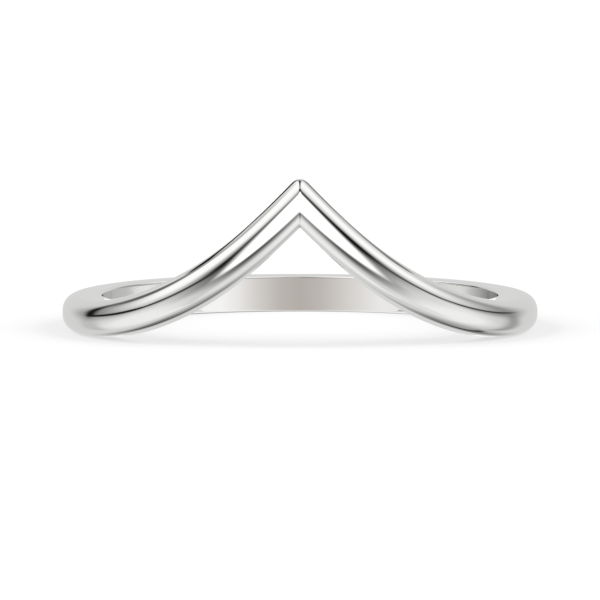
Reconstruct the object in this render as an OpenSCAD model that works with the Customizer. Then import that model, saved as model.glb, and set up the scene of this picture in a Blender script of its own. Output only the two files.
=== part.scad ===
// Chevron ring: one domed band whose front is drawn up into a point.
// The ring lies on its lower edge at Z = 0, the bore runs along Z and the point is at -Y.
// All sizes are in mm and all angles in degrees.

/* [Finger hole] */
// Inner diameter of the ring, a US size 7
inner_diameter = 17.3; // [15:0.1:21]

/* [Band] */
// Width of the band from edge to edge, measured square to its run
band_width = 1.6; // [1.3:0.05:2.6]
// Thickness of the band from the finger to the top of its dome
band_thickness = 1.73; // [1.3:0.01:2.4]
// Height of the rounded top above the flat sides
dome_height = 0.86; // [0.4:0.02:1]
// Fullness of the dome, where 2 is an ellipse and more is squarer
dome_fullness = 2.4; // [2:0.1:4]
// Rounding of the two edges on the finger side
inner_edge_rounding = 0.12; // [0.06:0.01:0.2]

/* [Chevron] */
// Height of the point above the plain part of the band, both taken at mid width
point_height = 5.63; // [3:0.01:8]
// Angle between the two arms where they meet
point_angle = 89; // [75:1:110]
// Softening of the point's upper corner, measured along the band
point_softening = 0.38; // [0.05:0.01:0.6]
// Turn around the finger from the point to where the band runs level
arm_reach = 75; // [60:1:85]
// How long each arm holds its slope at the point, as a share of the height
arm_stiffness = 0.46; // [0.3:0.01:0.7]
// How gently each arm flattens out, as a share of its reach
arm_ease = 0.55; // [0.3:0.01:0.7]
// Lean of the bore wall inside the arms, above the plain band
arm_draft = 0.15; // [0.05:0.05:1]

/* [Parts] */
// Piece to build

/* [Hidden] */
bore_radius = inner_diameter / 2;
half_width = band_width / 2;
side_depth = band_thickness - dome_height;
// The arms are laid out on a cylinder through the heavy part of the section.
layout_radius = bore_radius + 0.6 * band_thickness;
quarter_turn = layout_radius * PI / 2;
arm_length = layout_radius * PI * arm_reach / 180;
arm_slope = 90 - point_angle / 2;

dome_steps = 22;
arm_steps = 50;
level_steps = 5;
// The blank runs this far into the bore before the bore is cut.
bore_stock = 0.15;
// The inner edge is rounded by three facets, the first this steep to the bore wall.
edge_facet = 22.5;

metal = [0.83, 0.83, 0.82];

// How far up the dome the crease stays crisp: 1 softens it evenly, more holds it longer.
crease_hold = 6;

// The facets touch the arc of the rounding, and the first leaves the bore wall at this height.
edge_wall = half_width - inner_edge_rounding * (1 - tan(edge_facet / 2));

// Section of the band as [depth from the bore wall, height], upper half from the bore out.
edge_points = [
    for (a = [1.5, 2.5])
        inner_edge_rounding * [
            1 - cos(a * edge_facet) / cos(edge_facet / 2),
            sin(a * edge_facet) / cos(edge_facet / 2)
        ] + [0, half_width - inner_edge_rounding],
    [inner_edge_rounding * (1 - tan(edge_facet / 2)), half_width]
];
dome_points = [
    for (i = [0 : dome_steps])
        let (a = 90 - 180 * i / dome_steps)
        [
            side_depth + dome_height * pow(abs(cos(a)), 2 / dome_fullness),
            half_width * sign(sin(a)) * pow(abs(sin(a)), 2 / dome_fullness)
        ]
];
lower_edge_points = [for (i = [2 : -1 : 0]) [edge_points[i][0], -edge_points[i][1]]];
// The first facet of each edge runs on into the bore, where the bore cut trims it.
stock_wall = edge_wall - bore_stock / tan(edge_facet);
section = concat(
    [[-bore_stock, stock_wall]],
    edge_points,
    dome_points,
    lower_edge_points,
    [[-bore_stock, -stock_wall]]
);

// Each arm is one curve in the unrolled band, [run along the band, height].
arm_curve = [
    [0, point_height],
    [arm_stiffness * point_height / tan(arm_slope), (1 - arm_stiffness) * point_height],
    [(1 - arm_ease) * arm_length, 0],
    [arm_length, 0]
];

function curve_at(t) =
    pow(1 - t, 3) * arm_curve[0] + 3 * t * pow(1 - t, 2) * arm_curve[1]
    + 3 * t * t * (1 - t) * arm_curve[2] + t * t * t * arm_curve[3];

function curve_run(t) =
    3 * pow(1 - t, 2) * (arm_curve[1] - arm_curve[0])
    + 6 * t * (1 - t) * (arm_curve[2] - arm_curve[1])
    + 3 * t * t * (arm_curve[3] - arm_curve[2]);

// Middle of the band at station t: straight on before the point, the arm to 1, level to 2.
function middle(t) =
    t < 0 ? arm_curve[0] + t * curve_run(0)
    : t < 1 ? curve_at(t)
    : [arm_length + (t - 1) * (quarter_turn - arm_length), 0];

// Fall of the band at station t, as an angle.
function fall(t) =
    t >= 1 ? 0
    : let (d = curve_run(max(t, 0))) atan2(-d[1], d[0]);

// A line at height v in the section, in the unrolled band.
function offset_line(t, v) = middle(t) + v * [sin(fall(t)), cos(fall(t))];

// Station at which the line at height v meets the mitre plane.
function mitre_station(v, t = 0, tries = 8) =
    tries == 0 ? t
    : mitre_station(v, t - offset_line(t, v)[0] / curve_run(0)[0], tries - 1);

// How far the softened corner lies below the sharp one. The crease down the dome stays crisp,
// and the softening comes in towards the flat upper side.
function softening(run, v) =
    let (reach = point_softening * pow(max(v, 0) / half_width, crease_hold))
    run < reach ? tan(arm_slope) * pow(reach - run, 2) / (2 * reach) : 0;

// Point of the section at ring i, where 0 is the mitre and the last is a quarter turn on.
function ring_point(i, p) =
    let (
        start = mitre_station(p[1]),
        t = i > arm_steps
            ? 1 + (i - arm_steps) / level_steps
            : start + (1 - start) * pow(i / arm_steps, 1.3),
        line = offset_line(t, p[1]),
        run = i == 0 ? 0 : line[0],
        angle = i == arm_steps + level_steps ? 90 : run / layout_radius * 180 / PI,
        radius = bore_radius + p[0]
    )
    [radius * sin(angle), -radius * cos(angle), line[1] - softening(run, p[1])];

// The front half before its bore is cut: the two arms and the point.
module chevron_blank() {
    last = arm_steps + level_steps;
    count = len(section);
    rings = [
        for (i = [-last : last])
            [
                for (p = section)
                    let (q = ring_point(abs(i), p))
                    [i < 0 ? -q[0] : q[0], q[1], q[2]]
            ]
    ];
    polyhedron(
        points = [for (ring = rings) for (q = ring) q],
        faces = concat(
            [[for (j = [0 : count - 1]) j]],
            [[for (j = [count - 1 : -1 : 0]) 2 * last * count + j]],
            [
                for (i = [0 : 2 * last - 1])
                    for (j = [0 : count - 1])
                        let (
                            k = (j + 1) % count,
                            a = i * count + j,
                            b = i * count + k,
                            c = a + count,
                            d = b + count
                        )
                        for (f = i < last ? [[a, c, b], [b, c, d]] : [[a, c, d], [a, d, b]]) f
            ]
        ),
        convexity = 6
    );
}

// The rear half before its bore is cut, plain and level.
module shank_blank() {
    rotate_extrude(angle = 180, $fn = 180)
        polygon([for (p = section) [bore_radius + p[0], p[1]]]);
}

// The bore: straight over the height of the plain band, then leaning open up the arms.
module bore_cut() {
    top = point_height + 2 * band_width;
    rotate_extrude($fn = 180)
        polygon([
            [0, -band_width],
            [bore_radius, -band_width],
            [bore_radius, half_width],
            [bore_radius + (top - half_width) * tan(arm_draft), top],
            [0, top]
        ]);
}

module band() {
    color(metal)
        translate([0, 0, half_width])
            difference() {
                union() {
                    chevron_blank();
                    shank_blank();
                }
                bore_cut();
            }
}

band();
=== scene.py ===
import math
from collections import namedtuple

import bmesh
import bpy
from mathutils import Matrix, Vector


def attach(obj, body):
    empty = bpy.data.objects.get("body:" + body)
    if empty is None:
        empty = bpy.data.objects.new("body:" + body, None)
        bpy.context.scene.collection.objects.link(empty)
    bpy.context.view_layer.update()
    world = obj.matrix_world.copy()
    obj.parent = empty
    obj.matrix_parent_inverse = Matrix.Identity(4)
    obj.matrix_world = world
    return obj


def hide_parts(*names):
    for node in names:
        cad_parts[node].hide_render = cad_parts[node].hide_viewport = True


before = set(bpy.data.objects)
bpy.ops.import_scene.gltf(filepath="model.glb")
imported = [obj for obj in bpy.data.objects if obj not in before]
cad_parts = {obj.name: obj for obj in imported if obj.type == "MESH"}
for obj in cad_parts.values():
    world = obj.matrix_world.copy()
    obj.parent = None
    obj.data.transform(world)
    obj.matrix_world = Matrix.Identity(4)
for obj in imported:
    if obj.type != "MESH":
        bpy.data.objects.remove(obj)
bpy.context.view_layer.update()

MM = 0.001

# Sizes of the band
BORE_DIAMETER = 17.3 * MM
BAND_WIDTH = 1.6 * MM
BAND_THICKNESS = 1.73 * MM
DOME_HEIGHT = 0.86 * MM
DOME_FULLNESS = 2.4
INNER_EDGE_ROUNDING = 0.12 * MM
POINT_HEIGHT = 5.63 * MM
POINT_ANGLE = math.radians(89)
POINT_SOFTENING = 0.335 * MM
CREASE_EASING = 0.045 * MM
POINT_LEAN = math.radians(6.5)
POINT_LEAN_REACH = 1.1 * MM
ARM_REACH = math.radians(75)
ARM_STIFFNESS = 0.46
ARM_EASE = 0.55

# The arms are laid out on a cylinder this share of the thickness outside the bore.
LAYOUT_DEPTH = 0.6
# How far up the dome the crease stays crisp: 1 softens it evenly, more holds it longer.
CREASE_HOLD = 6.0
# The flat side next to the point leans fully up to this share of the lean's reach.
FULL_LEAN = 0.25

SECTION_STEPS = 176
HALF_RING_STEPS = 240
ARM_CURVE_STEPS = 600
# How much closer the steps lie at the point than at the back: 1 spreads them evenly.
STEP_CROWDING = 1.5
MITRE_TRIES = 5
WELD_DISTANCE = 1e-7
BAND_MAP = "BandMap"

# Helpers


def feed(tree, socket, value):
    """Links a socket to a value that another node gives, or sets it to a plain one."""
    if isinstance(value, bpy.types.NodeSocket):
        tree.links.new(value, socket)
    else:
        socket.default_value = value


def new_node(tree, kind, **settings):
    node = tree.nodes.new(kind)
    for name, value in settings.items():
        setattr(node, name, value)
    return node


def math_node(tree, operation, *values, clamp=False):
    node = new_node(tree, "ShaderNodeMath", operation=operation, use_clamp=clamp)
    for socket, value in zip(node.inputs, values):
        feed(tree, socket, value)
    return node.outputs[0]


def add(tree, *values):
    total = values[0]
    for value in values[1:]:
        total = math_node(tree, "ADD", total, value)
    return total


def times(tree, *values):
    product = values[0]
    for value in values[1:]:
        product = math_node(tree, "MULTIPLY", product, value)
    return product


def minus(tree, a, b):
    return math_node(tree, "SUBTRACT", a, b)


def over(tree, a, b):
    return math_node(tree, "DIVIDE", a, b)


def power(tree, a, b):
    return math_node(tree, "POWER", a, b)


def larger(tree, a, b):
    return math_node(tree, "MAXIMUM", a, b)


def smaller(tree, a, b):
    return math_node(tree, "MINIMUM", a, b)


def size_of(tree, a):
    return math_node(tree, "ABSOLUTE", a)


def sign_of(tree, a):
    return math_node(tree, "SIGN", a)


def cosine_of(tree, a):
    return math_node(tree, "COSINE", a)


def sine_of(tree, a):
    return math_node(tree, "SINE", a)


def parts(tree, vector):
    node = tree.nodes.new("ShaderNodeSeparateXYZ")
    feed(tree, node.inputs[0], vector)
    return node.outputs[0], node.outputs[1], node.outputs[2]


def point(tree, x, y, z):
    node = tree.nodes.new("ShaderNodeCombineXYZ")
    for socket, value in zip(node.inputs, (x, y, z)):
        feed(tree, socket, value)
    return node.outputs[0]


def pick(tree, condition, if_false, if_true):
    node = new_node(tree, "GeometryNodeSwitch", input_type="FLOAT")
    feed(tree, node.inputs["Switch"], condition)
    feed(tree, node.inputs["False"], if_false)
    feed(tree, node.inputs["True"], if_true)
    return node.outputs[0]


def smooth_step(tree, value, start, end, low=0.0, high=1.0):
    node = new_node(tree, "ShaderNodeMapRange", interpolation_type="SMOOTHSTEP")
    for socket, given in zip(node.inputs, (value, start, end, low, high)):
        feed(tree, socket, given)
    return node.outputs[0]


def float_sockets(tree, in_out, names):
    for name in names:
        tree.interface.new_socket(name, in_out=in_out, socket_type="NodeSocketFloat")


def link_mesh(name, mesh):
    obj = bpy.data.objects.new(name, mesh)
    bpy.context.scene.collection.objects.link(obj)
    return obj


def flat_mesh(name, corners, faces, material):
    mesh = bpy.data.meshes.new(name)
    mesh.from_pydata(corners, [], faces)
    mesh.materials.append(material)
    return link_mesh(name, mesh)


# The band


def section_group():
    """Band section, from 0 to 1 around: a round-topped outer side and a flat-sided inner side."""
    tree = bpy.data.node_groups.new("band_section", "GeometryNodeTree")
    float_sockets(
        tree, "INPUT",
        ("Around", "Half width", "Thickness", "Dome height", "Fullness", "Rounding"),
    )
    float_sockets(tree, "OUTPUT", ("Depth", "Height"))
    given = tree.nodes.new("NodeGroupInput").outputs
    result = tree.nodes.new("NodeGroupOutput").inputs
    around, half, thickness = given["Around"], given["Half width"], given["Thickness"]
    dome, fullness, rounding = given["Dome height"], given["Fullness"], given["Rounding"]
    side = minus(tree, thickness, dome)

    # dome: half a turn from the upper side to the lower one
    turn = minus(tree, math.pi / 2, times(tree, around, 2 * math.pi))
    roundness = over(tree, 2.0, fullness)
    sine = sine_of(tree, turn)
    out = power(tree, larger(tree, cosine_of(tree, turn), 0.0), roundness)
    up = power(tree, size_of(tree, sine), roundness)
    dome_depth = add(tree, side, times(tree, dome, out))
    dome_height = times(tree, half, sign_of(tree, sine), up)

    # inner side: along the bore wall from its middle, round the edge, then out along the flat
    wall = minus(tree, half, rounding)
    arc = times(tree, rounding, math.pi / 2)
    flat = minus(tree, side, rounding)
    share = minus(tree, times(tree, around, 4.0), 3.0)  # -1 to 1 over the second half
    walk = times(tree, share, add(tree, wall, arc, flat))
    far = size_of(tree, walk)
    past_wall = minus(tree, far, wall)
    on_wall = smaller(tree, far, wall)
    bend = over(tree, smaller(tree, larger(tree, past_wall, 0.0), arc), rounding)
    on_flat = larger(tree, minus(tree, past_wall, arc), 0.0)
    bend_depth = times(tree, rounding, minus(tree, 1.0, cosine_of(tree, bend)))
    bend_height = times(tree, rounding, sine_of(tree, bend))
    inner_depth = add(tree, bend_depth, on_flat)
    inner_height = times(tree, sign_of(tree, walk), add(tree, on_wall, bend_height))

    inner = math_node(tree, "GREATER_THAN", around, 0.5)
    feed(tree, result["Depth"], pick(tree, inner, dome_depth, inner_depth))
    feed(tree, result["Height"], pick(tree, inner, dome_height, inner_height))
    return tree


def arm_group():
    """A line at a height in the section, at a station counted in arm lengths from the point.

    Before the point the arm runs straight on, and past its end it runs level."""
    tree = bpy.data.node_groups.new("arm_line", "GeometryNodeTree")
    tree.interface.new_socket("Arm", in_out="INPUT", socket_type="NodeSocketGeometry")
    float_sockets(tree, "INPUT", ("Station", "Line height", "Arm length"))
    float_sockets(tree, "OUTPUT", ("Run", "Rise"))
    given = tree.nodes.new("NodeGroupInput").outputs
    result = tree.nodes.new("NodeGroupOutput").inputs
    station, line, length = given["Station"], given["Line height"], given["Arm length"]
    on_arm = math_node(tree, "ADD", station, 0.0, clamp=True)
    beyond = times(tree, minus(tree, station, on_arm), length)
    sample = new_node(
        tree, "GeometryNodeSampleCurve", mode="FACTOR", data_type="FLOAT", use_all_curves=True
    )
    feed(tree, sample.inputs["Curves"], given["Arm"])
    feed(tree, sample.inputs["Factor"], on_arm)
    x, y, _ = parts(tree, sample.outputs["Position"])
    along, fall, _ = parts(tree, sample.outputs["Tangent"])
    lean_back = minus(tree, 0.0, times(tree, line, fall))
    feed(tree, result["Run"], add(tree, x, times(tree, beyond, along), lean_back))
    feed(tree, result["Rise"], add(tree, y, times(tree, beyond, fall), times(tree, line, along)))
    return tree


def use(tree, group, **values):
    node = new_node(tree, "GeometryNodeGroup", node_tree=group)
    for name, value in values.items():
        feed(tree, node.inputs[name.replace("_", " ")], value)
    return node.outputs


def band_tree():
    """The whole ring: the section carried along both arms and round the back."""
    tree = bpy.data.node_groups.new("chevron_band", "GeometryNodeTree")
    sizes = {
        "Bore radius": BORE_DIAMETER / 2,
        "Half width": BAND_WIDTH / 2,
        "Thickness": BAND_THICKNESS,
        "Dome height": DOME_HEIGHT,
        "Fullness": DOME_FULLNESS,
        "Edge rounding": INNER_EDGE_ROUNDING,
        "Point height": POINT_HEIGHT,
        "Point slope": 1 / math.tan(POINT_ANGLE / 2),
        "Point softening": POINT_SOFTENING,
        "Crease easing": CREASE_EASING,
        "Point lean": math.tan(POINT_LEAN),
        "Lean reach": POINT_LEAN_REACH,
        "Arm reach": ARM_REACH,
        "Arm stiffness": ARM_STIFFNESS,
        "Arm ease": ARM_EASE,
    }
    float_sockets(tree, "INPUT", sizes)
    tree.interface.new_socket("Metal", in_out="INPUT", socket_type="NodeSocketMaterial")
    tree.interface.new_socket("Ring", in_out="OUTPUT", socket_type="NodeSocketGeometry")
    given = tree.nodes.new("NodeGroupInput").outputs
    section = section_group()
    line_at = arm_group()

    layout_radius = add(tree, given["Bore radius"], times(tree, given["Thickness"], LAYOUT_DEPTH))
    reach = times(tree, layout_radius, given["Arm reach"])
    slope = given["Point slope"]
    height = given["Point height"]

    # the middle of one arm, in the unrolled band
    arm = new_node(tree, "GeometryNodeCurvePrimitiveBezierSegment", mode="POSITION")
    arm.inputs["Resolution"].default_value = ARM_CURVE_STEPS
    held = times(tree, given["Arm stiffness"], height)
    held_run = over(tree, held, slope)
    ease_start = times(tree, reach, minus(tree, 1.0, given["Arm ease"]))
    feed(tree, arm.inputs["Start"], point(tree, 0.0, height, 0.0))
    feed(tree, arm.inputs["Start Handle"], point(tree, held_run, minus(tree, height, held), 0.0))
    feed(tree, arm.inputs["End Handle"], point(tree, ease_start, 0.0, 0.0))
    feed(tree, arm.inputs["End"], point(tree, reach, 0.0, 0.0))
    measure = tree.nodes.new("GeometryNodeCurveLength")
    feed(tree, measure.inputs[0], arm.outputs[0])
    length = measure.outputs[0]

    # a grid: across it once round the section, along it from the back over the point to the back
    grid = tree.nodes.new("GeometryNodeMeshGrid")
    grid.inputs["Size X"].default_value = 1.0
    grid.inputs["Size Y"].default_value = 1.0
    grid.inputs["Vertices X"].default_value = SECTION_STEPS + 1
    grid.inputs["Vertices Y"].default_value = 2 * HALF_RING_STEPS + 1
    x, y, _ = parts(tree, tree.nodes.new("GeometryNodeInputPosition").outputs[0])
    around = add(tree, x, 0.5)
    side = sign_of(tree, y)
    along = times(tree, size_of(tree, y), 2.0)

    ring = use(
        tree, section, Around=around, Half_width=given["Half width"],
        Thickness=given["Thickness"], Dome_height=given["Dome height"],
        Fullness=given["Fullness"], Rounding=given["Edge rounding"],
    )
    depth, line = ring["Depth"], ring["Height"]

    def on_line(at):
        return use(
            tree, line_at, Arm=arm.outputs[0], Station=at, Line_height=line, Arm_length=length
        )

    # each line starts where it meets the mitre, found by a few Newton steps
    steepness = math_node(tree, "SQRT", add(tree, 1.0, times(tree, slope, slope)))
    pace = times(tree, length, over(tree, 1.0, steepness))
    start = 0.0
    for _ in range(MITRE_TRIES):
        start = minus(tree, start, over(tree, on_line(start)["Run"], pace))
    level_run = minus(tree, times(tree, layout_radius, math.pi), reach)
    finish = add(tree, 1.0, over(tree, level_run, length))
    share = power(tree, along, STEP_CROWDING)
    here = on_line(add(tree, start, times(tree, minus(tree, finish, start), share)))
    run, rise = here["Run"], here["Rise"]

    # the crease is eased all the way down, and more towards the point's upper corner
    upper = over(tree, larger(tree, line, 0.0), given["Half width"])
    high_up = power(tree, upper, CREASE_HOLD)
    soft = add(tree, given["Crease easing"], times(tree, given["Point softening"], high_up))
    inside = larger(tree, minus(tree, soft, run), 0.0)
    eased = over(tree, times(tree, slope, inside, inside), times(tree, soft, 2.0))

    # next to the point the flat upper side leans in towards the finger
    flat_side = minus(tree, given["Thickness"], given["Dome height"])
    inward = larger(tree, minus(tree, flat_side, depth), 0.0)
    lean_reach = given["Lean reach"]
    near = smooth_step(tree, run, times(tree, lean_reach, FULL_LEAN), lean_reach, 1.0, 0.0)
    drop = add(tree, eased, times(tree, given["Point lean"], inward, near, high_up))

    turn = times(tree, side, over(tree, run, layout_radius))
    radius = add(tree, given["Bore radius"], depth)
    place = point(
        tree,
        times(tree, radius, sine_of(tree, turn)),
        times(tree, radius, minus(tree, 0.0, cosine_of(tree, turn))),
        add(tree, given["Half width"], minus(tree, rise, drop)),
    )

    # for the finish: how far round the ring and round its section each point lies, in turns
    keep = new_node(
        tree, "GeometryNodeStoreNamedAttribute", data_type="FLOAT2", domain="CORNER"
    )
    keep.inputs["Name"].default_value = BAND_MAP
    feed(tree, keep.inputs["Geometry"], grid.outputs["Mesh"])
    feed(tree, keep.inputs["Value"], point(tree, over(tree, turn, 2 * math.pi), around, 0.0))

    shape = tree.nodes.new("GeometryNodeSetPosition")
    feed(tree, shape.inputs["Geometry"], keep.outputs[0])
    feed(tree, shape.inputs["Position"], place)
    weld = tree.nodes.new("GeometryNodeMergeByDistance")
    weld.inputs["Distance"].default_value = WELD_DISTANCE
    feed(tree, weld.inputs["Geometry"], shape.outputs[0])
    smooth = tree.nodes.new("GeometryNodeSetShadeSmooth")
    feed(tree, smooth.inputs["Geometry"], weld.outputs[0])
    real = tree.nodes.new("GeometryNodeRealizeInstances")
    feed(tree, real.inputs[0], smooth.outputs[0])
    dress = tree.nodes.new("GeometryNodeSetMaterial")
    feed(tree, dress.inputs["Geometry"], real.outputs[0])
    feed(tree, dress.inputs["Material"], given["Metal"])
    feed(tree, tree.nodes.new("NodeGroupOutput").inputs["Ring"], dress.outputs[0])
    return tree, sizes


def make_band(metal):
    tree, sizes = band_tree()
    blank = bpy.data.objects.new("band_blank", bpy.data.meshes.new("band_blank"))
    bpy.context.scene.collection.objects.link(blank)
    modifier = blank.modifiers.new("chevron_band", "NODES")
    modifier.node_group = tree
    for socket in tree.interface.items_tree:
        if socket.item_type == "SOCKET" and socket.in_out == "INPUT":
            value = metal if socket.name == "Metal" else sizes[socket.name]
            modifier[socket.identifier] = value
    bpy.context.view_layer.update()
    evaluated = blank.evaluated_get(bpy.context.evaluated_depsgraph_get())
    mesh = bpy.data.meshes.new_from_object(evaluated)
    bpy.data.objects.remove(blank)
    mesh.name = "polished_band"
    return link_mesh("polished_band", mesh)


# Finish
WARM_ALLOY = (0.862, 0.860, 0.842)
COOL_ALLOY = (0.880, 0.878, 0.866)
POLISH_ROUGHNESS = 0.022
HAZE_ROUGHNESS = 0.05
HAIRLINE_ROUGHNESS = 0.06
HAIRLINE_DEPTH = 2e-6
HAIRLINE_STRENGTH = 0.12

# The noises. Cells are counted over the whole turn and over the whole section, and each
# noise comes in between the values start and end.
Noise = namedtuple("Noise", "along_cells across_cells detail roughness start end")
CLOUD = Noise(16, 3, 3, 0.55, 0.25, 0.75)
HAIRS = Noise(30, 190, 4, 0.7, 0.60, 0.74)
HAIR_PATCHES = Noise(22, 5, 2, 0.55, 0.42, 0.66)
HAZE = Noise(60, 9, 4, 0.55, 0.3, 0.75)


def ramp(tree, value, stops):
    """A colour from a list of stops, each a place from 0 to 1 and its colour."""
    node = tree.nodes.new("ShaderNodeValToRGB")
    feed(tree, node.inputs[0], value)
    elements = node.color_ramp.elements
    while len(elements) > 1:
        elements.remove(elements[-1])
    elements[0].position, elements[0].color = stops[0][0], (*stops[0][1], 1.0)
    for place, colour in stops[1:]:
        elements.new(place).color = (*colour, 1.0)
    return node.outputs[0]


def wrapped_noise(tree, turn, around, kind):
    """Noise that closes on itself along the band and round its section.

    It is read on a torus in four dimensions."""
    long_angle = times(tree, turn, 2 * math.pi)
    short_angle = times(tree, around, 2 * math.pi)
    long_radius = kind.along_cells / (2 * math.pi)
    short_radius = kind.across_cells / (2 * math.pi)
    place = point(
        tree,
        times(tree, cosine_of(tree, long_angle), long_radius),
        times(tree, sine_of(tree, long_angle), long_radius),
        times(tree, cosine_of(tree, short_angle), short_radius),
    )
    noise = new_node(tree, "ShaderNodeTexNoise", noise_dimensions="4D")
    feed(tree, noise.inputs["Vector"], place)
    feed(tree, noise.inputs["W"], times(tree, sine_of(tree, short_angle), short_radius))
    noise.inputs["Scale"].default_value = 1.0
    noise.inputs["Detail"].default_value = kind.detail
    noise.inputs["Roughness"].default_value = kind.roughness
    return noise.outputs[0]


def polished_white_gold():
    metal = bpy.data.materials.new("polished_white_gold")
    metal.use_nodes = True
    tree = metal.node_tree
    surface = tree.nodes["Principled BSDF"]
    surface.inputs["Metallic"].default_value = 1.0
    band_map = new_node(tree, "ShaderNodeUVMap", uv_map=BAND_MAP)
    turn, around, _ = parts(tree, band_map.outputs[0])

    def coming_in(kind, low=0.0, high=1.0):
        noise = wrapped_noise(tree, turn, around, kind)
        return smooth_step(tree, noise, kind.start, kind.end, low, high)

    # the alloy: a faint cloud of warmer and cooler patches, a few millimetres across
    cloud = wrapped_noise(tree, turn, around, CLOUD)
    tint = ramp(tree, cloud, ((CLOUD.start, WARM_ALLOY), (CLOUD.end, COOL_ALLOY)))

    # buffing: long hairlines, a few hundredths of a millimetre wide, that come and go
    hairlines = times(tree, coming_in(HAIRS), coming_in(HAIR_PATCHES))

    # a light haze that comes and goes
    haze = coming_in(HAZE, POLISH_ROUGHNESS, HAZE_ROUGHNESS)

    feed(tree, surface.inputs["Base Color"], tint)
    rough = add(tree, haze, times(tree, hairlines, HAIRLINE_ROUGHNESS))
    feed(tree, surface.inputs["Roughness"], rough)
    bump = tree.nodes.new("ShaderNodeBump")
    bump.inputs["Strength"].default_value = HAIRLINE_STRENGTH
    bump.inputs["Distance"].default_value = HAIRLINE_DEPTH
    feed(tree, bump.inputs["Height"], minus(tree, 1.0, hairlines))
    feed(tree, surface.inputs["Normal"], bump.outputs[0])
    return metal


# Studio

# Levels are out of 255, as they show in the picture. This share of the light comes back
# from the metal.
METAL_REFLECTANCE = 0.87


def seen(level):
    """The light that shows as this level in the polished metal."""
    return ((level / 255 + 0.055) / 1.055) ** 2.4 / METAL_REFLECTANCE


def grey(level):
    return (seen(level),) * 3


def only_reflected(obj):
    obj.visible_camera = False
    obj.visible_diffuse = False
    obj.visible_transmission = False
    obj.visible_volume_scatter = False
    obj.visible_shadow = False


# Light tent

# Cards and boxes on the wall of the light tent, each painted over the ones before.
# Angles are in degrees. Azimuth 0 is the camera's side, and it runs to the ring's right.
# Roundness 2 is an ellipse, and more is squarer. The softness of a card's sides and top
# is a share of its size.
Card = namedtuple("Card", (
    "name", "azimuth", "height", "half_width", "half_height",
    "roundness", "side_softness", "top_softness", "turn", "level",
))
# Most of these numbers were not chosen by hand. A fitting program outside this script worked
# them out by matching reflections to the photograph, and they were then rounded. Given one by
# one are the roundness, and the places and sizes of the two ceilings and of the card over the
# front box.
TENT = [Card(*row) for row in (
    ("left floor glow", -86.5, -55, 38, 41, 2.2, 0.69, 0.2, 3, 235),
    ("right floor glow", 73.5, -54.5, 28.5, 53, 2.2, 0.5, 0.22, -23, 237),
    ("left rear corner", -126.5, -17, 8.5, 24.25, 2, 0.67, 0.34, -12, 188),
    ("right rear corner", 129, -20, 7.5, 26, 2, 1, 0.24, 10, 156),
    ("left ceiling", -88, 60, 65, 30, 4, 0.1, 0.2, 4, 240),
    ("right ceiling", 81, 60, 60, 32, 4, 0.3, 0.24, -6, 238),
    ("front floor glow", 28, -83, 68, 21.25, 2, 0.22, 0.46, 15, 220),
    ("left frame", -77.5, 9, 56.5, 15.5, 4, 0.34, 0.44, -2, 66),
    ("right frame", 93.5, 17.5, 43.5, 19, 4, 0.33, 0.24, -4, 132),
    ("left side box", -74, 39.5, 38, 41.75, 2.6, 0.83, 0.42, 4, 253),
    ("right side box", 80, 41, 29, 33, 2.6, 1, 0.55, -13, 252),
    ("front shade, left", -34, -9, 18.5, 20.25, 2, 0.97, 0.95, 4, 110),
    ("front shade, right", 28, -8, 14, 18, 2, 1, 0.55, -2, 113),
    ("front floor shade", 2.5, -28, 26.5, 21, 2, 0.83, 0.92, 8, 72),
    ("over the front box", 0, 30, 31, 9, 2, 0.38, 0.4, 1, 10),
    ("left gap", -40, -1, 8, 5, 2, 0.87, 0.74, 12, 29),
    ("left gap top", -24.5, 7.5, 15.5, 11.5, 2, 0.42, 0.76, 8, 10),
    ("right gap", 33.5, 14.5, 24.5, 13, 2, 0.54, 0.75, -29, 15),
    ("front box", 1.5, -13, 33, 11.75, 3, 0.21, 0.59, 2, 262),
    ("front box top", -0.5, 0, 25.5, 21, 3, 0.41, 0.27, 10, 307),
    ("left post", -127.5, 12, 4.5, 15, 3, 0.78, 0.26, 19, 27),
    ("left hook", -116.5, 29, 17, 7, 2.5, 0.56, 0.61, 13, 92),
    ("left table edge", -104.5, -2, 23.5, 2.25, 2.5, 0.1, 0.44, -6, 26),
    ("left table edge, front", -64, -4.5, 22.5, 1.5, 2.5, 0.04, 0.92, 0, 45),
    ("right table edge", 102.5, 5, 27.5, 2.25, 2.5, 0.3, 0.98, 5, 43),
    ("right table edge, front", 62.5, 3.5, 16, 2.5, 2.5, 0.3, 1.0, -4, 58),
    ("rear floor shade", 176, -47, 17, 17.25, 2, 1.0, 0.68, -7, 69),
    ("rear floor shade, left", 154.5, -56.5, 23.5, 15, 2, 1.0, 0.78, 11, 162),
    ("rear floor shade, core", 169, -44.5, 21, 3, 2, 0.61, 0.9, 14, 48),
)]
TENT_WALL = 205
TENT_RADIUS = 1.5
TENT_SEGMENTS = 96
TENT_RINGS = 48
# Keeps a division from going wrong in the very middle of a card.
TINY = 1e-9


def card_cover(tree, azimuth, height, card):
    """How far a card covers the tent's wall, from 0 to 1, in each direction."""
    aside = math_node(tree, "WRAP", minus(tree, azimuth, card.azimuth), 180.0, -180.0)
    above = minus(tree, height, card.height)
    turn = math.radians(card.turn)
    cosine, sine = math.cos(turn), math.sin(turn)
    turned_aside = add(tree, times(tree, aside, cosine), times(tree, above, sine))
    turned_above = minus(tree, times(tree, above, cosine), times(tree, aside, sine))
    across = size_of(tree, over(tree, turned_aside, card.half_width))
    up = size_of(tree, over(tree, turned_above, card.half_height))
    side_part = power(tree, across, card.roundness)
    top_part = power(tree, up, card.roundness)
    both = add(tree, side_part, top_part, TINY)
    side_soft = times(tree, side_part, card.side_softness)
    top_soft = times(tree, top_part, card.top_softness)
    soft = over(tree, add(tree, side_soft, top_soft), both)
    out = power(tree, both, 1 / card.roundness)
    return smooth_step(tree, out, minus(tree, 1.0, soft), add(tree, 1.0, soft), 1.0, 0.0)


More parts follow.
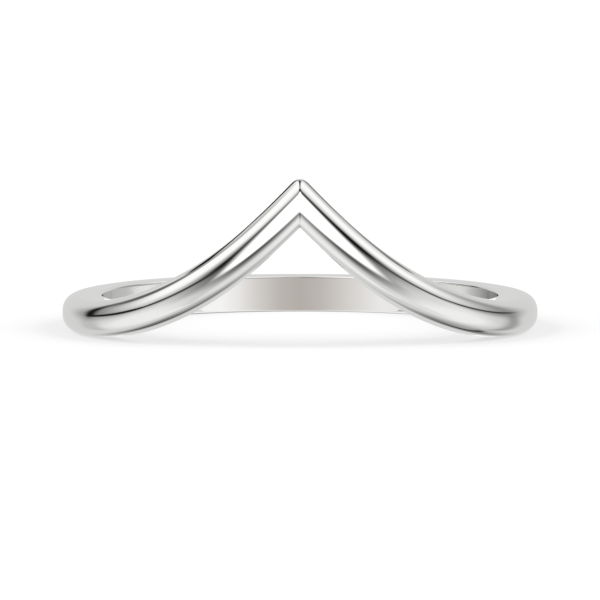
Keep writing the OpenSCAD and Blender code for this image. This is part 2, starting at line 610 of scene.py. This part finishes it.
def light_tent():
    paper = bpy.data.materials.new("tent_paper")
    paper.use_nodes = True
    tree = paper.node_tree
    tree.nodes.clear()
    towards = new_node(tree, "ShaderNodeVectorMath", operation="NORMALIZE")
    feed(tree, towards.inputs[0], tree.nodes.new("ShaderNodeTexCoord").outputs["Object"])
    x, y, z = parts(tree, towards.outputs["Vector"])
    right_of_camera = math_node(tree, "ARCTAN2", x, minus(tree, 0.0, y))
    azimuth = math_node(tree, "DEGREES", right_of_camera)
    height = math_node(tree, "DEGREES", math_node(tree, "ARCSINE", z))
    light = seen(TENT_WALL)
    for card in TENT:
        mix = new_node(tree, "ShaderNodeMix", data_type="FLOAT", label=card.name)
        feed(tree, mix.inputs[0], card_cover(tree, azimuth, height, card))
        feed(tree, mix.inputs[2], light)
        feed(tree, mix.inputs[3], seen(card.level))
        light = mix.outputs[0]
    glow = tree.nodes.new("ShaderNodeEmission")
    feed(tree, glow.inputs["Strength"], light)
    out = tree.nodes.new("ShaderNodeOutputMaterial")
    feed(tree, out.inputs["Surface"], glow.outputs[0])
    paper.cycles.emission_sampling = "NONE"

    mesh = bpy.data.meshes.new("light_tent")
    shape = bmesh.new()
    bmesh.ops.create_uvsphere(
        shape, u_segments=TENT_SEGMENTS, v_segments=TENT_RINGS, radius=TENT_RADIUS
    )
    shape.to_mesh(mesh)
    shape.free()
    mesh.materials.append(paper)
    only_reflected(link_mesh("light_tent", mesh))


# Cards near the ring, seen only in reflections: painted shade and painted dark reflections


def card_paint(name):
    """A new paint for a card, and the place on the card as x, y and z."""
    paint = bpy.data.materials.new(name)
    paint.use_nodes = True
    tree = paint.node_tree
    tree.nodes.clear()
    return paint, tree, *parts(tree, tree.nodes.new("ShaderNodeTexCoord").outputs["Object"])


def light_one_side(paint, colour, cover):
    """The card glows on its front. It is clear from behind and where its cover fades."""
    tree = paint.node_tree
    glow = tree.nodes.new("ShaderNodeEmission")
    feed(tree, glow.inputs["Color"], colour)
    clear = tree.nodes.new("ShaderNodeBsdfTransparent")
    front = minus(tree, 1.0, tree.nodes.new("ShaderNodeNewGeometry").outputs["Backfacing"])
    both = tree.nodes.new("ShaderNodeMixShader")
    feed(tree, both.inputs[0], times(tree, front, cover))
    feed(tree, both.inputs[1], clear.outputs[0])
    feed(tree, both.inputs[2], glow.outputs[0])
    out = tree.nodes.new("ShaderNodeOutputMaterial")
    feed(tree, out.inputs["Surface"], both.outputs[0])
    paint.cycles.emission_sampling = "NONE"


def standing_card(name, start, end, heights, paint):
    """A card that stands on edge from start to end, with its front to the right of that way."""
    corners = [(x, y, z) for x, y in (start, end) for z in heights]
    only_reflected(flat_mesh(name, corners, [(0, 2, 3, 1)], paint))


# A grey card of painted shade stands across the finger hole, with a wing folded back at either
# side.
# It is seen only in reflections, where it paints the shade of the far inner wall.
# Its paint is given as a place across it, in mm from the middle, and the level there.
# The levels follow tones read off the photograph along the far inner wall.
PAINTED_SHADE_STOPS = (
    (-5.3, 232), (-3.7, 222), (-2.3, 207), (-0.9, 183), (0.0, 174),
    (0.9, 182), (2.2, 209), (3.3, 230), (5.1, 244),
)
INNER_PAINT_WIDTH_MM = 12
INNER_CARD_HALF = 8.55 * MM
INNER_CARD_HEIGHTS = (-14.0 * MM, 4.6 * MM)
INNER_WING_END = (7.0 * MM, 4.85 * MM)
INNER_WING_HEIGHTS = (-1.2 * MM, 2.0 * MM)
# Below this level the painted shade turns warmer, in full this much further down. Each of red,
# green and blue has a step that it always keeps and one that grows with the warmth. The steps
# follow colours read off the same wall.
WARM_BELOW = 246
WARM_SPAN = 72
PAINTED_SHADE_TINT = ((0, 5), (0, -1), (1, -6))


def painted_shade_colour(level):
    warmth = max(0, WARM_BELOW - level) / WARM_SPAN
    return tuple(seen(level + always + grown * warmth) for always, grown in PAINTED_SHADE_TINT)


def painted_shade_card():
    """A grey card across the finger hole, seen only in reflections, that paints shade into the
    far inner wall.
    """
    paint, tree, x, _, _ = card_paint("painted_shade_grey")
    width = INNER_PAINT_WIDTH_MM
    place = add(tree, times(tree, x, 1 / (width * MM)), 0.5)
    stops = [(at / width + 0.5, painted_shade_colour(level)) for at, level in PAINTED_SHADE_STOPS]
    light_one_side(paint, ramp(tree, place, stops), 1.0)
    right, left = (INNER_CARD_HALF, 0.0), (-INNER_CARD_HALF, 0.0)
    right_wing, left_wing = INNER_WING_END, (-INNER_WING_END[0], INNER_WING_END[1])
    standing_card("painted_shade_card", right, left, INNER_CARD_HEIGHTS, paint)
    standing_card("painted_shade_card_right", right_wing, right, INNER_WING_HEIGHTS, paint)
    standing_card("painted_shade_card_left", left, left_wing, INNER_WING_HEIGHTS, paint)


# Two small grey cards of painted shade stand against the rear of the bore, seen only in
# reflections: which side, name, and the paint as a distance from the bore's axis, in mm, and the
# level there. The levels follow tones read at the two ends of the far inner wall.
BORE_SHADE_CARDS = (
    (-1, "left_bore_shade_card", ((7.2, 205), (7.6, 186), (8.6, 176))),
    (1, "right_bore_shade_card", ((7.2, 205), (7.7, 172), (8.1, 150), (8.6, 135))),
)
BORE_PAINT_REACH_MM = 12
BORE_CARD_AZIMUTH = math.radians(145)
BORE_CARD_ENDS = (7.1 * MM, 8.64 * MM)
BORE_CARD_FADE_MM = (7.2, 7.5)
BORE_CARD_HEIGHTS = (-1.5 * MM, 2.0 * MM)


def bore_shade_cards():
    """The two small grey cards, seen only in reflections, which paint shade into the sides of the
    inner wall.
    """
    reach = BORE_PAINT_REACH_MM
    sine, cosine = math.sin(BORE_CARD_AZIMUTH), math.cos(BORE_CARD_AZIMUTH)
    for side, name, levels in BORE_SHADE_CARDS:
        paint, tree, x, y, _ = card_paint(name)
        away = new_node(tree, "ShaderNodeVectorMath", operation="LENGTH")
        feed(tree, away.inputs[0], point(tree, x, y, 0.0))
        out = over(tree, away.outputs["Value"], reach * MM)
        colour = ramp(tree, out, [(at / reach, grey(level)) for at, level in levels])
        fade = [at / reach for at in BORE_CARD_FADE_MM]
        light_one_side(paint, colour, smooth_step(tree, out, *fade))
        ends = [(side * radius * sine, -radius * cosine) for radius in BORE_CARD_ENDS]
        # both cards run from left to right, so both fronts face the camera
        standing_card(name, *sorted(ends), BORE_CARD_HEIGHTS, paint)


# Two cards behind the ring paint a dark reflection and are seen only in the metal: which side,
# name, level. The dark strip on each one slopes up from the middle, and a foot fills the place
# above the strip near the middle.
DARK_LINE_REFLECTIONS = ((-1, "left_dark_line_card", 12), (1, "right_dark_line_card", 120))
STRIP_RISE = 0.677
STRIP_START = 4.3 * MM
STRIP_EDGE = (0.45 * MM, 1.1 * MM)
FOOT_LOWER_EDGE = (-0.6 * MM, 0.2 * MM)
FOOT_SIDE_EDGE = (10.6 * MM, 12.4 * MM)
FOOT_UPPER_EDGE = (15.5 * MM, 18.0 * MM)
DARK_LINE_CARD_BACK = 8.0 * MM
DARK_LINE_CARD_SIDES = (3.0 * MM, 34.0 * MM)
DARK_LINE_CARD_HEIGHTS = (4.0 * MM, 30.0 * MM)


def dark_line_reflection_cards():
    """The two cards, which paint the fine dark reflected line along each arm's upper edge."""
    for side, name, level in DARK_LINE_REFLECTIONS:
        paint, tree, x, _, z = card_paint(name)
        middle = add(tree, times(tree, x, side * STRIP_RISE), STRIP_START)
        above = times(tree, minus(tree, z, middle), math.cos(math.atan(STRIP_RISE)))
        strip = smooth_step(tree, size_of(tree, above), *STRIP_EDGE, 1.0, 0.0)
        near_side = smooth_step(tree, size_of(tree, x), *FOOT_SIDE_EDGE, 1.0, 0.0)
        low_side = smooth_step(tree, z, *FOOT_UPPER_EDGE, 1.0, 0.0)
        foot = times(tree, smooth_step(tree, above, *FOOT_LOWER_EDGE), near_side, low_side)
        light_one_side(paint, (*grey(level), 1.0), larger(tree, strip, foot))
        ends = [(side * aside, DARK_LINE_CARD_BACK) for aside in DARK_LINE_CARD_SIDES]
        # both cards run from left to right, so both fronts face the camera
        standing_card(name, *sorted(ends), DARK_LINE_CARD_HEIGHTS, paint)


# The card above the point, with its two levels from left to right. It is seen only in
# reflections, as painted shade in the crease.
CREASE_SHADE_LEVELS = (0, 120)
CREASE_SHADE_CHANGE = (-0.4 * MM, 0.4 * MM)
CREASE_SHADE_CARD_HALF = 1.7 * MM
CREASE_SHADE_CARD_FRONT = -17.0 * MM
CREASE_SHADE_CARD_BACK = -3.0 * MM
CREASE_SHADE_CARD_HEIGHT = 12.0 * MM


def crease_shade_card():
    """A dark card that faces down and shows in the metal as painted shade in the crease between
    the arms.
    """
    paint, tree, x, _, _ = card_paint("crease_shade_card")
    change = smooth_step(tree, x, *CREASE_SHADE_CHANGE)
    left, right = CREASE_SHADE_LEVELS
    light_one_side(paint, ramp(tree, change, ((0.0, grey(left)), (1.0, grey(right)))), 1.0)
    half, front, back = CREASE_SHADE_CARD_HALF, CREASE_SHADE_CARD_FRONT, CREASE_SHADE_CARD_BACK
    outline = ((-half, front), (-half, back), (half, back), (half, front))
    corners = [(x, y, CREASE_SHADE_CARD_HEIGHT) for x, y in outline]
    only_reflected(flat_mesh("crease_shade_card", corners, [(0, 1, 2, 3)], paint))


# Floor, lamps, world, camera
FLOOR_HALF = 1.2
FLOOR_GREY = 0.08
FLOOR_ROUGHNESS = 0.9
FLOOR_GLOW_COLOUR = (1.0, 0.998, 1.0, 1.0)
FLOOR_GLOW = 0.655

LAMPS = (("left_lamp", math.radians(-62)), ("right_lamp", math.radians(62)))
LAMP_HEIGHT = math.radians(25)
LAMP_BREADTH = math.radians(55)
LAMP_ENERGY = 13.5

WORLD_LIGHT = 1.02

CAMERA_AIM = Vector((0.0, 0.0, 1.303 * MM))
CAMERA_HEIGHT = math.radians(5.1785)
CAMERA_DISTANCE = 0.49925
CAMERA_LENS = 685.3
CAMERA_SENSOR = 36.0
CAMERA_CLIP = 0.05


def pale_floor():
    board = bpy.data.materials.new("white_light_table")
    board.use_nodes = True
    surface = board.node_tree.nodes["Principled BSDF"]
    surface.inputs["Base Color"].default_value = (FLOOR_GREY, FLOOR_GREY, FLOOR_GREY, 1.0)
    surface.inputs["Roughness"].default_value = FLOOR_ROUGHNESS
    surface.inputs["Specular IOR Level"].default_value = 0.0
    surface.inputs["Emission Color"].default_value = FLOOR_GLOW_COLOUR
    surface.inputs["Emission Strength"].default_value = FLOOR_GLOW
    board.cycles.emission_sampling = "NONE"
    half = FLOOR_HALF
    corners = [(-half, -half, 0), (half, -half, 0), (half, half, 0), (-half, half, 0)]
    floor = flat_mesh("floor", corners, [(0, 1, 2, 3)], board)
    floor.visible_glossy = False


def floor_lamps():
    """Two broad, low lights that only light the floor and so draw the soft shadow."""
    for name, azimuth in LAMPS:
        light = bpy.data.lights.new(name, "SUN")
        light.energy = LAMP_ENERGY
        light.angle = LAMP_BREADTH
        lamp = bpy.data.objects.new(name, light)
        lamp.rotation_euler = (math.pi / 2 - LAMP_HEIGHT, 0.0, azimuth)
        lamp.visible_glossy = False
        bpy.context.scene.collection.objects.link(lamp)


def white_world():
    world = bpy.data.worlds.new("white_studio")
    world.use_nodes = True
    background = world.node_tree.nodes["Background"]
    background.inputs["Color"].default_value = (1.0, 1.0, 1.0, 1.0)
    background.inputs["Strength"].default_value = WORLD_LIGHT
    bpy.context.scene.world = world


def photo_camera():
    """The photograph's view: just above the floor, through a long lens half a metre away."""
    data = bpy.data.cameras.new("camera")
    data.sensor_width = CAMERA_SENSOR
    data.lens = CAMERA_LENS
    data.clip_start = CAMERA_CLIP
    camera = bpy.data.objects.new("camera", data)
    back = Vector((0.0, -math.cos(CAMERA_HEIGHT), math.sin(CAMERA_HEIGHT)))
    camera.location = CAMERA_AIM + CAMERA_DISTANCE * back
    camera.rotation_euler = (math.pi / 2 - CAMERA_HEIGHT, 0.0, 0.0)
    bpy.context.scene.collection.objects.link(camera)
    bpy.context.scene.camera = camera


photo_camera()
white_world()
pale_floor()
light_tent()
painted_shade_card()
bore_shade_cards()
dark_line_reflection_cards()
crease_shade_card()
floor_lamps()
bpy.context.scene.view_settings.view_transform = "Standard"

band = make_band(polished_white_gold())
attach(band, "root")
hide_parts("band")
